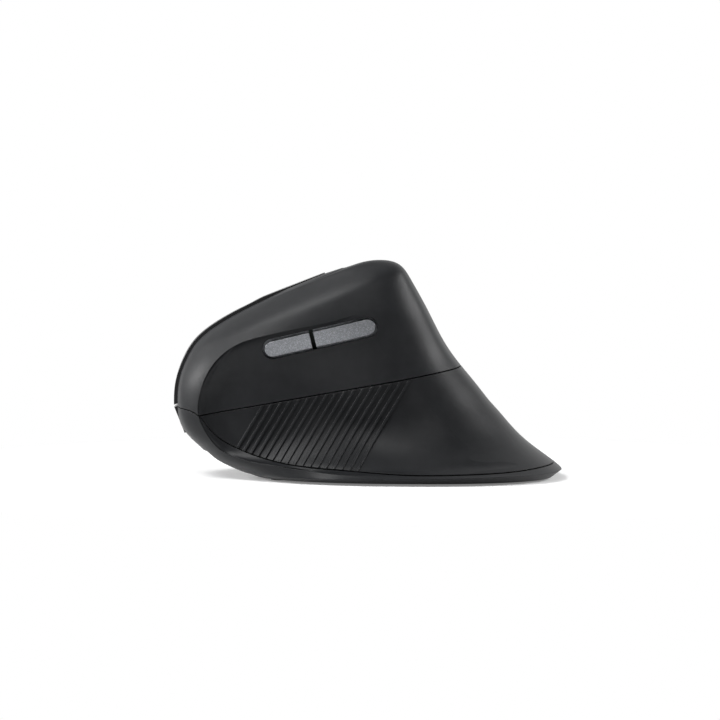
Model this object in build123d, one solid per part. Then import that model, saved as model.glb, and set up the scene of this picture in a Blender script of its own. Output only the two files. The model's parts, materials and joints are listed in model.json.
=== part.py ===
from build123d import *
from functools import lru_cache
from math import copysign, cos, degrees, pi, radians, sin, sqrt, tan
import os

# Right-handed vertical mouse. +X runs to the wrist, -Y is the thumb side, +Y the finger side, +Z up.
# The origin lies on the desk under the middle of the whole body.

# overall sizes, in millimetres
length = 120.0
width = 78.0
height = 68.0

# housing
shell_wall = 2.0
floor_thickness = 2.0
foot_height = 0.6
lip_undercut = 3.0
part_gap = 0.35
seam_gap = 0.3
overrun = 30.0
crown_half = 1.2

# thumb scoop
scoop_depth = 5.0
crease_step = 0.4
crease_run = 9.0
fade_run = 34.0
fade_tail_margin = 14.0
fade_clearance = 0.15
fade_lift = 0.6
scoop_nose_margin = 4.5
scoop_tail_margin = 8.0

# grip ribs on the side shell
rib_width = 0.7
rib_proud = 0.45
rib_root = 0.6
rib_angle = 59.0
rib_count = 17

# main buttons on the finger side
button_proud = 1.0
button_wall = 1.8
split_gap = 0.7
window_gap = 0.7
ridge_nose_gap = 0.95
ridge_tail_gap = 0.4
tail_gap = 0.45
finger_post_radius = 1.4
finger_post_room = 5.0
click_gap = 1.35

# carrier under the main buttons
carrier_wall = 1.6
carrier_overlap = 3.0
carrier_gap = 0.35
hole_gap = 0.8
post_radius = 2.2
thin_post_radius = 1.8

# click hinges
hinge_across = 22.5
hinge_up = 6.2
hinge_depth = 3.2
hinge_barrel_radius = 1.3
hinge_barrel_length = 6.5
hinge_pin_radius = 0.6
hinge_neck = 1.4
pin_gap = 0.05
lug_thickness = 1.5
lug_radius = 2.0
running_gap = 0.3

# scroll wheel
wheel_radius = 11.5
wheel_width = 6.4
wheel_proud = 3.2
wheel_gap = 0.8
wheel_slot_end = 2.8
tyre_depth = 2.2
tyre_rounding = 0.9
tyre_groove_width = 0.8
tyre_groove_depth = 0.45
tyre_groove_count = 30
rim_thickness = 1.6
web_thickness = 1.6
web_hole_radius = 1.3
web_hole_count = 6
hub_radius = 3.0
spindle_radius = 1.5

# wheel cradle
cradle_gap = 0.5
cradle_end_gap = 1.2
cradle_cap = 1.2
cradle_height = 4.4
cradle_bar = 4.0
arm_thickness = 1.5
cradle_pin_radius = 0.8
cradle_pin_setback = 1.7
encoder_width = 3.0
encoder_length = 8.0
encoder_drop = 6.0
encoder_rise = 2.4

# boards, switches and fasteners
board_thickness = 1.2
board_edge_gap = 1.2
switch_length = 12.8
switch_width = 5.8
switch_height = 6.5
plunger_long = 2.6
plunger_wide = 1.2
plunger_proud = 0.8
plunger_sunk = 1.2
tact_size = 6.0
tact_height = 3.5
low_tact_height = 1.5
stem_radius = 1.7
stem_proud = 0.8
stem_sunk = 0.9
stem_gap = 0.15
touch_gap = 0.05
travel_room = 0.8
screw_radius = 1.0
screw_head_radius = 1.9
screw_head_height = 1.4
board_screw_length = 5.0

# button board, in the frame of the finger face
board_depth = 15.0
board_nose = 20.0
board_tail = 46.0
board_low = 13.5
board_high = 15.0
switch_across = 12.0
switch_up = 8.9
wheel_tact_across = 15.5
front_post_across = 21.5
tail_post_across = 34.0
tail_post_up = 8.5
carrier_post_across = 27.5
carrier_post_up = 5.0

# resolution button and its light, behind the wheel
resolution_across = 35.5
resolution_long = 7.0
resolution_wide = 4.0
resolution_proud = 0.6
small_button_gap = 0.25
flange_width = 0.9
flange_thickness = 0.8
light_across = 42.8
light_radius = 1.1
led_size = 1.6
led_height = 0.8

# thumb buttons in the scoop
slot_tilt = 13.5
slot_length = 36.2
slot_width = 6.2
button_gap = 0.8
thumb_split = 1.3
thumb_proud = 1.2
thumb_board_depth = 11.6
thumb_board_width = 9.0
thumb_post_radius = 1.7
thumb_post_gap = 1.2
thumb_tact_size = 4.5

# main board and what it carries
main_board_z = 6.2
main_board_half = 14.0
main_post_inset = 4.0
processor_size = 7.0
processor_height = 1.0
crystal_size = 3.2
crystal_height = 0.8
plug_length = 5.0
plug_width = 6.0
plug_height = 3.0
lead_radius = 0.8

# charging port under the nose
port_width = 8.94
port_height = 3.26
port_length = 7.4
port_wall = 0.35
port_z = 4.5
port_gap = 0.25
tongue_thickness = 0.7
tongue_width = 6.6
tongue_setback = 0.8
notch_width = 14.0
notch_wall = 1.8

# sensor over its eye in the underside
sensor_long = 12.0
sensor_wide = 9.0
sensor_height = 2.3
lens_plate = 1.0
lens_nose_radius = 2.4
lens_nose = 1.4
eye_long = 9.0
eye_wide = 6.5

# battery
battery_long = 34.0
battery_wide = 26.0
battery_high = 6.6
battery_rounding = 2.0
battery_gap = 0.4
fence_thickness = 1.4
fence_height = 4.5

# power switch and pairing button in the underside
slider_long = 5.0
slider_wide = 3.2
slider_travel = 2.5
slider_sunk = 0.15
slider_groove = 0.45
slider_groove_step = 1.25
slide_switch_long = 9.0
slide_switch_wide = 4.0
slide_switch_height = 2.2
lever_long = 1.4
lever_wide = 1.2
lever_reach = 1.0
pair_radius = 2.2
pair_sunk = 0.3

# glide feet and case screws
glide_thickness = 0.9
glide_width = 8.0
glide_gap = 0.1
front_glide_long = 30.0
rear_glide_long = 36.0
case_post_radius = 3.0
case_post_height = 7.5
case_screw_length = 9.0
counterbore_depth = 4.0
tab_width = 8.0
tab_rise = 3.0

# Fan of section planes. Each passes through a line across the mouse, level with the desk and
# fan_reach behind the nose side, and rises towards the wrist. Each row gives the rise of its plane,
# its nose and tail, the Y of both, and the thumb and finger half widths.
fan_reach_share = 1.375
section_shares = (
    (0.0228, -0.317, 0.500, 0.038, -0.051, 0.487, 0.500),
    (0.0397, -0.347, 0.480, 0.038, -0.049, 0.456, 0.487),
    (0.0635, -0.376, 0.447, 0.038, -0.044, 0.423, 0.472),
    (0.0911, -0.402, 0.412, 0.038, -0.038, 0.392, 0.456),
    (0.1324, -0.427, 0.372, 0.038, -0.032, 0.359, 0.436),
    (0.1756, -0.450, 0.338, 0.038, -0.026, 0.336, 0.413),
    (0.2216, -0.470, 0.303, 0.038, -0.021, 0.320, 0.390),
    (0.2841, -0.486, 0.261, 0.038, -0.015, 0.305, 0.359),
    (0.3706, -0.492, 0.208, 0.041, -0.013, 0.290, 0.315),
    (0.4694, -0.490, 0.166, 0.041, -0.036, 0.268, 0.262),
    (0.5365, -0.482, 0.140, 0.041, -0.056, 0.246, 0.218),
    (0.6088, -0.465, 0.111, 0.036, -0.082, 0.203, 0.167),
    (0.6476, -0.450, 0.094, 0.029, -0.095, 0.171, 0.137),
    (0.6806, -0.427, 0.069, 0.018, -0.103, 0.127, 0.109),
    (0.6988, -0.403, 0.044, 0.010, -0.105, 0.098, 0.087),
    (0.7118, -0.373, 0.018, 0.004, -0.105, 0.078, 0.071),
    (0.7225, -0.328, -0.020, -0.005, -0.101, 0.062, 0.058),
    (0.7295, -0.280, -0.065, -0.016, -0.094, 0.044, 0.044),
    (0.7345, -0.236, -0.108, -0.025, -0.082, 0.027, 0.027),
)
# how square each half of a section is, thumb half and finger half
section_powers = (
    (2.35, 2.5), (2.35, 2.5), (2.4, 2.5), (2.45, 2.5), (2.5, 2.45), (2.6, 2.4), (2.7, 2.4),
    (2.8, 2.35), (2.9, 2.3), (2.9, 2.3), (2.8, 2.3), (2.6, 2.25), (2.5, 2.2), (2.3, 2.2),
    (2.2, 2.2), (2.2, 2.2), (2.2, 2.2), (2.2, 2.2), (2.2, 2.2),
)
section_points = 28
top_drop_power = 8

# the scoop's front edge and depth on the first thirteen of those planes
scoop_edge_shares = (
    -0.083, -0.100, -0.217, -0.317, -0.372, -0.394, -0.4125, -0.427, -0.4325, -0.418,
    -0.390, -0.333, -0.300,
)
scoop_depth_shares = (
    0.10, 0.20, 0.36, 0.52, 0.72, 0.88, 0.96, 1.00, 1.00, 0.88, 0.56, 0.10, 0.08,
)
ramp_steps = 5
floor_steps = 11

# side outline of the crease round the scoop, from its top rear corner over the nose to the tail
crease_shares = (
    (0.100, 0.647), (0.0625, 0.706), (0.025, 0.743), (-0.014, 0.755), (-0.071, 0.731),
    (-0.145, 0.701), (-0.268, 0.652), (-0.329, 0.617), (-0.376, 0.560), (-0.4125, 0.473),
    (-0.430, 0.382), (-0.4325, 0.291), (-0.425, 0.254), (-0.407, 0.196), (-0.376, 0.137),
    (-0.329, 0.103), (-0.272, 0.084), (-0.213, 0.072), (-0.083, 0.050), (0.083, 0.046),
    (0.250, 0.048), (0.333, 0.055),
)
scoop_tail_share = 0.62
# side line between the upper and the side shell
part_line_shares = ((-0.60, 0.372), (-0.500, 0.322), (-0.4325, 0.290), (0.239, 0.508), (0.60, 0.625))
# side line between the side shell and the base
seam_shares = (
    (0.60, 0.088), (0.479, 0.074), (0.381, 0.059), (0.228, 0.050), (0.083, 0.050), (-0.045, 0.063),
    (-0.213, 0.088), (-0.329, 0.143), (-0.402, 0.226), (-0.4325, 0.290), (-0.500, 0.322),
    (-0.60, 0.372),
)

# side lines of the main buttons: their split, their lower edge and their tail edge
split_shares = ((-0.60, 0.268), (0.10, 0.6435))
button_floor_shares = ((-0.60, 0.140), (0.10, 0.462))
button_tail_shares = ((0.170, -0.20), (-0.150, 1.09))
# side lines that their rims taper to: over the top towards the tail, and under the nose
rim_top_shares = ((-0.283, 0.812), (0.0, 1.009))
rim_nose_shares = ((-0.457, 0.132), (-0.5003, 0.3235))
# their edge along the top of the body, seen from above
ridge_shares = ((-0.60, 0.010), (0.10, -0.098))
# places along the length, across the width and up the height
wheel_x_share = -0.262
face_reach_share = 0.110
slot_x_share = -0.1217
slot_z_share = 0.647
thumb_split_share = 0.435
main_board_nose_share = -0.293
main_board_tail_share = 0.045
processor_place_share = (-0.095, 0.070)
crystal_place_share = (-0.205, -0.07)
lead_plug_place_share = (-0.190, 0.075)
thumb_plug_place_share = (-0.110, -0.050)
battery_plug_place_share = (0.010, 0.0)
port_face_share = -0.312
notch_top_shares = ((-0.45, 0.130), (-0.312, 0.098))
sensor_place_share = (-0.060, -0.030)
battery_place_share = (0.205, 0.0)
power_place_share = (-0.120, 0.135)
pair_place_share = (-0.120, -0.135)
front_glide_x_share = -0.215
rear_glide_x_share = 0.385
case_screw_shares = ((0.255, 0.245), (0.255, -0.265))
tab_shares = ((-0.12, 1), (0.20, 1), (-0.12, -1), (0.20, -1))

# a point low on the first and on the last grip rib
rib_foot_shares = ((-0.332, 0.151), (-0.0275, 0.065))

# what the sizes above give
fan_reach = fan_reach_share * length
fan_rise = height / length
floor_top = foot_height + floor_thickness


def mix(start, end, share):
    """The value a share of the way from start to end."""
    return start + (end - start) * share


def ease(share):
    """A smooth step from 0 to 1."""
    share = min(max(share, 0.0), 1.0)
    return share * share * (3 - 2 * share)


def section_rows():
    """The section table in real sizes."""
    rows = []
    for shares, powers in zip(section_shares, section_powers):
        rise, nose, tail, nose_y, tail_y, thumb, finger = shares
        rows.append((rise * fan_rise, nose * length, tail * length, nose_y * width, tail_y * width,
                     thumb * width, finger * width, *powers))
    return rows


rows = section_rows()


def row_at(rise):
    """Section values on a plane of any rise, between two rows of the table."""
    rise = min(max(rise, rows[0][0]), rows[-1][0])
    for low, high in zip(rows, rows[1:]):
        if rise <= high[0]:
            share = (rise - low[0]) / (high[0] - low[0])
            return tuple(mix(a, b, share) for a, b in zip(low, high))
    return rows[-1]


def side_y(row, x, sign):
    """Y of the outer surface on one section, on the thumb (-1) or finger (+1) side."""
    rise, nose, tail, nose_y, tail_y, thumb, finger, thumb_power, finger_power = row
    along = min(max((2 * x - nose - tail) / (tail - nose), -1.0), 1.0)
    spine = mix(nose_y, tail_y, (along + 1) / 2)
    half, power = (finger, finger_power) if sign > 0 else (thumb, thumb_power)
    return spine + sign * half * (1 - abs(along) ** power) ** (1 / power)


def on_fan(rise, x, y):
    """The point of a section plane over x and y."""
    return Vector(x, y, rise * (x + fan_reach))


def section_outline(row, depth):
    """Points round one section, moved inwards by depth."""
    rise, nose, tail, nose_y, tail_y, thumb, finger, thumb_power, finger_power = row
    middle = (nose + tail) / 2
    half = (tail - nose) / 2 - depth
    drop = depth / (fan_reach + middle) * (rise / rows[-1][0]) ** top_drop_power
    points = []
    for step in range(section_points):
        turn = 2 * pi * step / section_points
        across = sin(turn)
        reach, power = (finger, finger_power) if across >= 0 else (thumb, thumb_power)
        x = middle + half * copysign(abs(cos(turn)) ** (2 / power), cos(turn))
        spine = mix(nose_y, tail_y, (x - nose) / (tail - nose))
        y = spine + (reach - depth) * copysign(abs(across) ** (2 / power), across)
        points.append(on_fan(rise - drop, x, y))
    return points


def closed_curve(points):
    """A smooth closed wire through evenly counted points."""
    marks = [step / len(points) for step in range(len(points) + 1)]
    return Wire([Edge.make_spline(points, periodic=True, parameters=marks)])


@lru_cache
def skin(depth, crowned=False):
    """The whole body above its lip, with its surface moved inwards by depth and its top flat or crowned."""
    kept = [row for row in rows if min(row[5], row[6]) - depth > crown_half]
    curves = [closed_curve(section_outline(row, depth)) for row in kept]
    body = Solid.make_loft(curves[:-1])
    return body + Solid.make_loft(curves[-2:], ruled=True) if crowned else body


def skirt():
    """The part below the lip, tapering in to the flat underside."""
    lip = section_outline(rows[0], 0)
    under = [Vector(p.X, p.Y, foot_height) for p in section_outline(rows[0], lip_undercut)]
    return Solid.make_loft([closed_curve(under), closed_curve(lip)], ruled=True)


def side_prism(points, low=-width, high=width):
    """A prism across the mouse, with its outline given in X and Z."""
    outline = make_face(Polyline([(x, 0, z) for x, z in points], close=True))
    return extrude(Pos(0, low, 0) * outline, amount=high - low, dir=(0, 1, 0))


def scaled(shares):
    """Side outline points from shares of the length and the height."""
    return [(x * length, z * height) for x, z in shares]


def scoop_y(index, x):
    """Y of the scoop's floor on one section."""
    row = rows[index]
    surface = side_y(row, x, -1)
    edge = scoop_edge_shares[index] * length
    run = min(max((x - edge) / crease_run, 0.0), 1.0)
    full = scoop_depth * scoop_depth_shares[index]
    depth = crease_step + max(full - crease_step, 0) * (1 - (1 - run) ** 2)
    fade_end = row[2] - fade_tail_margin
    fade = ease((x - fade_end + fade_run) / fade_run)
    beyond = ease((x - fade_end) / (fade_tail_margin - scoop_tail_margin))
    return surface + mix(depth, -fade_clearance, fade) - fade_lift * beyond


def scoop_places(index):
    """X of the points along one section of the scoop's floor, closest behind the crease."""
    start = rows[index][1] + scoop_nose_margin
    end = rows[index][2] - scoop_tail_margin
    edge = max(scoop_edge_shares[index] * length, start + crease_step)
    ramp = [edge + crease_run * step / ramp_steps for step in range(ramp_steps + 1)]
    rest = [mix(ramp[-1], end, step / floor_steps) for step in range(1, floor_steps + 1)]
    return [start, mix(start, edge, 0.5), *ramp, *rest]


@lru_cache
def scoop_block(shift):
    """Everything on the thumb side of the scoop's floor, with the floor moved inwards by shift."""
    deepest = scoop_places(scoop_depth_shares.index(max(scoop_depth_shares)))
    marks = [(x - deepest[0]) / (deepest[-1] - deepest[0]) for x in deepest]
    wires = []
    for index in range(len(scoop_depth_shares)):
        rise = rows[index][0]
        floor = [on_fan(rise, x, scoop_y(index, x) + shift) for x in scoop_places(index)]
        far_end, far_start = on_fan(rise, floor[-1].X, -width), on_fan(rise, floor[0].X, -width)
        wires.append(Wire([
            Edge.make_spline(floor, parameters=marks),
            Edge.make_line(floor[-1], far_end),
            Edge.make_line(far_end, far_start),
            Edge.make_line(far_start, floor[0]),
        ]))
    return Solid.make_loft(wires)


def crease_face(grow):
    """The side outline of the scoop: a smooth crease moved outwards by grow, closed far behind the tail."""
    corners = scaled(crease_shares)
    points = []
    for before, here, after in zip([corners[0], *corners], corners, [*corners[1:], corners[-1]]):
        run, rise = after[0] - before[0], after[1] - before[1]
        reach = sqrt(run**2 + rise**2)
        points.append((here[0] + grow * rise / reach, 0, here[1] - grow * run / reach))
    tail = scoop_tail_share * length
    lowest, highest = points[-1][2], points[0][2]
    close = Polyline([points[-1], (tail, 0, lowest), (tail, 0, highest), points[0]])
    return make_face([Spline(points), *close.edges()])


@lru_cache
def scoop(shift, grow):
    """The scoop's cutter, with its floor moved inwards by shift and its outline grown."""
    prism = extrude(Pos(0, -width, 0) * crease_face(grow), amount=width, dir=(0, 1, 0))
    return scoop_block(shift) & prism


@lru_cache
def core(depth):
    """The body above its lip with its scoop, with the whole surface moved inwards by depth."""
    return skin(depth) - scoop(depth, depth)


def finger_y(x, z):
    """Y of the finger side over a point of the side view."""
    return side_y(row_at(z / (x + fan_reach)), x, 1)


def floor_y(x, z):
    """Y of the scoop's floor over a point of the side view, from the two nearest sections."""
    rise = z / (x + fan_reach)
    for index in range(len(scoop_depth_shares) - 1):
        if rise <= rows[index + 1][0]:
            share = (rise - rows[index][0]) / (rows[index + 1][0] - rows[index][0])
            return mix(scoop_y(index, x), scoop_y(index + 1, x), share)
    return scoop_y(len(scoop_depth_shares) - 1, x)


def block(frame, across, up, out):
    """A box in a frame, from its low and high bounds along the frame's axes."""
    sizes = [high - low for low, high in (across, up, out)]
    middle = [(high + low) / 2 for low, high in (across, up, out)]
    return frame * Pos(*middle) * Box(*sizes)


def rod(frame, across, up, out, radius):
    """A round rod along a frame's normal."""
    return frame * Pos(across, up, sum(out) / 2) * Cylinder(radius, out[1] - out[0])


def cross_rod(frame, across, out, up, radius):
    """A round rod along a frame's Y axis."""
    turned = Rot(90, 0, 0) * Cylinder(radius, up[1] - up[0])
    return frame * Pos(across, sum(up) / 2, out) * turned


def centred(middle, size):
    """Bounds of a size about a middle."""
    return middle - size / 2, middle + size / 2


def bar_slot(frame, across, up, out, long, wide):
    """A bar with round ends in a frame."""
    shape = frame * Pos(across, up, out[0]) * SlotOverall(long, wide)
    return extrude(shape, amount=out[1] - out[0], dir=frame.z_dir)


def place(shares):
    """X and Y of a place given in shares of the length and the width."""
    return shares[0] * length, shares[1] * width


def face_frame():
    """A frame on the finger face at the wheel: X to the nose, Y up the face, Z out of it."""
    (x0, z0), (x1, z1) = scaled(split_shares)
    slope = (z1 - z0) / (x1 - x0)
    x = wheel_x_share * length
    z = z0 + slope * (x - x0)
    reach = face_reach_share * length

    def on_face(dx, dz):
        return Vector(x + dx, finger_y(x + dx, z + dz), z + dz)

    towards_nose = on_face(-reach, -reach * slope) - on_face(reach, reach * slope)
    up_face = on_face(0, reach / 2) - on_face(0, -reach / 2)
    return Plane(origin=on_face(0, 0), x_dir=towards_nose, z_dir=towards_nose.cross(up_face))


def face_depth(across, up):
    """Place of the outer surface along the face frame's normal."""
    low, high = -width / 2, width / 4
    for _ in range(40):
        middle = (low + high) / 2
        point = face.from_local_coords(Vector(across, up, middle))
        inside = point.Z > 0 and point.Y < finger_y(point.X, point.Z)
        low, high = (middle, high) if inside else (low, middle)
    return low


def slot_frame():
    """A frame on the scoop's floor at the thumb buttons: X to the wrist, Z out to the thumb."""
    x, z = slot_x_share * length, slot_z_share * height
    along = Vector(cos(radians(slot_tilt)), 0, sin(radians(slot_tilt)))
    return Plane(origin=(x, floor_y(x, z), z), x_dir=along, z_dir=(0, -1, 0))


face = face_frame()
slot = slot_frame()
desk = Plane.XY

# places in the face frame that several pieces share
axle_out = wheel_proud + button_proud - wheel_radius
arm_inner = wheel_width / 2 + cradle_gap
arm_outer = arm_inner + arm_thickness
lug_inner = arm_outer + running_gap
cradle_inner = wheel_radius + cradle_end_gap
cradle_top = axle_out + spindle_radius + cradle_cap
cradle_low = cradle_top - cradle_height
cradle_tail = cradle_inner + 2 * cradle_pin_setback
cradle_nose = cradle_inner + cradle_bar
cradle_pin_across = -cradle_inner - cradle_pin_setback
cradle_pin_out = (cradle_top + cradle_low) / 2
plate_inner = button_wall - button_proud
carrier_top = plate_inner + click_gap
carrier_low = carrier_top + carrier_wall
board_face = -board_depth
board_back = board_face - board_thickness
stem_top = board_face + tact_height + stem_proud
plunger_top = board_face + switch_height + plunger_proud
wheel_chord = sqrt(wheel_radius**2 - (wheel_radius - wheel_proud - button_wall)**2)
board_chord = sqrt(wheel_radius**2 - (axle_out - board_face)**2)

# places in the slot frame and above the desk that several pieces share
thumb_face = -thumb_board_depth
thumb_stem_top = thumb_face + tact_height + stem_proud
thumb_post_across = slot_length / 2 + flange_width + thumb_post_gap + thumb_post_radius
thumb_split_across = (thumb_split_share - 1 / 2) * (slot_length - 2 * button_gap)
main_board_top = main_board_z + board_thickness
main_board_x = (main_board_nose_share * length, main_board_tail_share * length)
port_face = port_face_share * length
wrist_way = Plane(origin=(0, 0, 0), x_dir=(0, 1, 0), z_dir=(1, 0, 0))
board_posts = (
    (front_post_across, 0, post_radius),
    (-carrier_post_across, carrier_post_up, thin_post_radius),
    (-carrier_post_across, -carrier_post_up, thin_post_radius),
)
tail_posts = ((-tail_post_across, tail_post_up), (-tail_post_across, -tail_post_up))
thumb_board_posts = (-thumb_post_across, thumb_post_across)
main_posts = [(x, y) for x in (main_board_x[0] + main_post_inset, main_board_x[1] - main_post_inset)
              for y in (-main_board_half + main_post_inset, main_board_half - main_post_inset)]
case_screws = [place(shares) for shares in case_screw_shares]


def button_region(low_shares, below, behind, nose_side, tail_side):
    """The finger side above a side line, ahead of the tail edge and past the ridge edge.

    The region grows by a gap below the line, behind the tail, and along the ridge at nose and tail.
    """
    (x0, z0), (x1, z1) = scaled(low_shares)
    above = side_prism([(x0, z0 - below), (x1, z1 - below), (x1, 2 * height), (x0, 2 * height)])
    (x2, z2), (x3, z3) = scaled(button_tail_shares)
    ahead = side_prism([(x0, z2), (x2 + behind, z2), (x3 + behind, z3), (x0, z3)])
    (x4, y4), (x5, y5) = [(x * length, y * width) for x, y in ridge_shares]
    plan = Polyline([(x4, y4 - nose_side, 0), (x5, y5 - tail_side, 0), (x5, width, 0), (x4, width, 0)],
                    close=True)
    finger = extrude(make_face(plan), amount=2 * height, dir=(0, 0, 1))
    return above & ahead & finger


def upper_region():
    """All above the part line, less half its gap."""
    line = [(x, z + part_gap / 2) for x, z in scaled(part_line_shares)]
    return side_prism([*line, (line[-1][0], 2 * height), (line[0][0], 2 * height)])


def below_line(shares, gap):
    """All below a side line, less a gap."""
    line = [(x, z - gap) for x, z in scaled(shares)]
    return side_prism([*line, (line[-1][0], -height), (line[0][0], -height)])


def seam_region(gap):
    """All below the seam of the base, less a gap: a smooth line on the side."""
    points = [(x, 0, z - gap) for x, z in scaled(seam_shares)]
    ends = Polyline([points[-1], (points[-1][0], 0, -height), (points[0][0], 0, -height), points[0]])
    outline = make_face([Spline(points), *ends.edges()])
    return extrude(Pos(0, -width, 0) * outline, amount=2 * width, dir=(0, 1, 0))


def above_floor():
    """All above the base's floor."""
    return block(desk, (-length, length), (-width, width), (floor_top, 2 * height))


def switch_body(frame, across, up, out):
    """A click switch with the well that its plunger works in."""
    body = block(frame, centred(across, switch_length), centred(up, switch_width),
                 (out, out + switch_height))
    well = block(frame, centred(across, plunger_long + 2 * stem_gap),
                 centred(up, plunger_wide + 2 * stem_gap),
                 (out + switch_height - plunger_sunk - travel_room, out + switch_height))
    return body - well


def switch_plunger(frame, across, up, out):
    """The plunger of a click switch."""
    return block(frame, centred(across, plunger_long), centred(up, plunger_wide),
                 (out + switch_height - plunger_sunk, out + switch_height + plunger_proud))


def tact(frame, across, up, out, size, tall):
    """A square press switch with the well that its stem works in."""
    body = block(frame, centred(across, size), centred(up, size), (out, out + tall))
    well = rod(frame, across, up, (out + tall - stem_sunk - travel_room * tall / tact_height, out + tall),
               stem_radius + stem_gap)
    return body - well


def tact_stem(frame, across, up, out, tall):
    """The stem of a press switch."""
    return rod(frame, across, up, (out + tall - stem_sunk * tall / tact_height, out + tall + stem_proud),
               stem_radius)


def screw(frame, across, up, out, long):
    """A screw with its head's bearing face at out, running along the frame's normal."""
    head = rod(frame, across, up, (out - screw_head_height, out), screw_head_radius)
    recess = rod(frame, across, up, (out - screw_head_height, out - screw_head_height / 2),
                 screw_radius / 2)
    return head + rod(frame, across, up, (out, out + long), screw_radius) - recess


def shells(outer, cavity, middle):
    """The upper shell, the side shell and the base, each with what it carries."""
    walls = outer - cavity
    window = button_region(button_floor_shares, window_gap, tail_gap, ridge_nose_gap, ridge_tail_gap)

    upper = (walls & upper_region()) - seam_region(-seam_gap / 2)
    for hole in (
        window,
        bar_slot(slot, 0, 0, (thumb_face, overrun), slot_length, slot_width),
        bar_slot(face, -resolution_across, 0, (board_face, overrun),
                 resolution_long + 2 * small_button_gap, resolution_wide + 2 * small_button_gap),
        rod(face, -light_across, 0, (board_face, overrun), light_radius),
    ):
        upper -= hole
    for across, up in tail_posts:
        post = rod(face, across, up, (board_face, overrun), post_radius) & middle
        upper += post - rod(face, across, up, (board_back, board_face + board_screw_length), screw_radius)
    for across in thumb_board_posts:
        post = rod(slot, across, 0, (thumb_face, overrun), thumb_post_radius) & middle
        upper += post - rod(slot, across, 0, (thumb_face, thumb_face + board_screw_length), screw_radius)

    side = (walls & below_line(part_line_shares, part_gap / 2)) - seam_region(-seam_gap / 2) - window
    side += ribs()
    side -= rod(face, switch_across, -switch_up, (board_face, plunger_top + finger_post_room),
                finger_post_radius + hole_gap)
    for x, y in case_screws:
        post = rod(desk, x, y, (case_post_height + seam_gap, height), case_post_radius) & middle
        side += post - rod(desk, x, y, (0, floor_top + counterbore_depth + case_screw_length), screw_radius)

    base = base_shell((walls & seam_region(seam_gap / 2)) - window, outer)
    return upper, side, base


def ribs():
    """Grip ribs: slanting bars on the scoop's floor between the part line and the seam."""
    band = scoop(rib_root, 0) - scoop(-rib_proud, 0)
    (x0, z0), (x1, z1) = scaled(rib_foot_shares)
    rise = length / 2
    lean = rise / tan(radians(rib_angle))
    bars = []
    for index in range(rib_count):
        share = index / (rib_count - 1)
        x, z = mix(x0, x1, share), mix(z0, z1, share)
        half = rib_width / 2 / sin(radians(rib_angle))
        bars.append(side_prism([
            (x - half - lean, z - rise), (x + half - lean, z - rise),
            (x + half + lean, z + rise), (x - half + lean, z + rise)], low=-width, high=0))
    zone = below_line(part_line_shares, part_gap / 2) - seam_region(-seam_gap / 2)
    return (Part() + bars) & band & zone


def base_shell(base, outer):
    """The base with its posts, port wall, battery fence and the openings of its underside."""
    notch_x = (notch_top_shares[0][0] * length, port_face)
    notch_z = [z * height for x, z in notch_top_shares]
    wall = side_prism([
        (notch_x[0], 0), (port_face + notch_wall, 0), (port_face + notch_wall, notch_z[1] + notch_wall),
        (notch_x[0], notch_z[0] + notch_wall)],
        low=-notch_width / 2 - notch_wall, high=notch_width / 2 + notch_wall)
    base += wall & outer
    for x, y in main_posts:
        base += rod(desk, x, y, (floor_top - floor_thickness / 2, main_board_z), post_radius)
    for x, y in case_screws:
        base += rod(desk, x, y, (foot_height, case_post_height), case_post_radius) & outer
    base += battery_fence() + snap_tabs()

    x, y = place(sensor_place_share)
    cuts = [bar_slot(desk, x, y, (0, floor_top), eye_long, eye_wide)]
    x, y = place(battery_place_share)
    cuts.append(block(desk, centred(x, battery_long + 2 * battery_gap),
                      centred(y, battery_wide + 2 * battery_gap), (floor_top, floor_top + fence_height)))
    x, y = place(power_place_share)
    slider_room = slider_long / 2 + small_button_gap
    cuts.append(block(desk, (x - slider_room, x + slider_room + slider_travel),
                      centred(y, slider_wide + 2 * small_button_gap), (0, floor_top)))
    x, y = place(pair_place_share)
    cuts.append(rod(desk, x, y, (0, floor_top), pair_radius + small_button_gap))
    for x, y in main_posts:
        cuts.append(rod(desk, x, y, (main_board_top - board_screw_length, main_board_z), screw_radius))
    for x, y in case_screws:
        bearing = floor_top + counterbore_depth - floor_thickness
        cuts.append(rod(desk, x, y, (0, bearing), screw_head_radius + small_button_gap))
        cuts.append(rod(desk, x, y, (0, case_post_height), screw_radius + stem_gap))
    cuts.append(side_prism([
        (notch_x[0], -height), (notch_x[1], -height), (notch_x[1], notch_z[1]), (notch_x[0], notch_z[0])],
        low=-notch_width / 2, high=notch_width / 2))
    cuts.append(bar_slot(wrist_way, 0, port_z, (port_face - notch_wall, port_face + 2 * notch_wall),
                         port_width + 2 * port_gap, port_height + 2 * port_gap))
    for x_share, long in ((front_glide_x_share, front_glide_long), (rear_glide_x_share, rear_glide_long)):
        turned = Plane(origin=(x_share * length, 0, 0), x_dir=(0, 1, 0), z_dir=(0, 0, 1))
        cuts.append(bar_slot(turned, 0, 0, (0, glide_thickness), long + 2 * glide_gap,
                             glide_width + 2 * glide_gap))
    for cut in cuts:
        base -= cut
    return base


def battery_fence():
    """A low wall round the battery."""
    x, y = place(battery_place_share)
    inner = (battery_long + 2 * battery_gap, battery_wide + 2 * battery_gap)
    outer = [size + 2 * fence_thickness for size in inner]
    out = (floor_top - floor_thickness / 2, floor_top + fence_height)
    return (block(desk, centred(x, outer[0]), centred(y, outer[1]), out)
            - block(desk, centred(x, inner[0]), centred(y, inner[1]), out))


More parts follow.
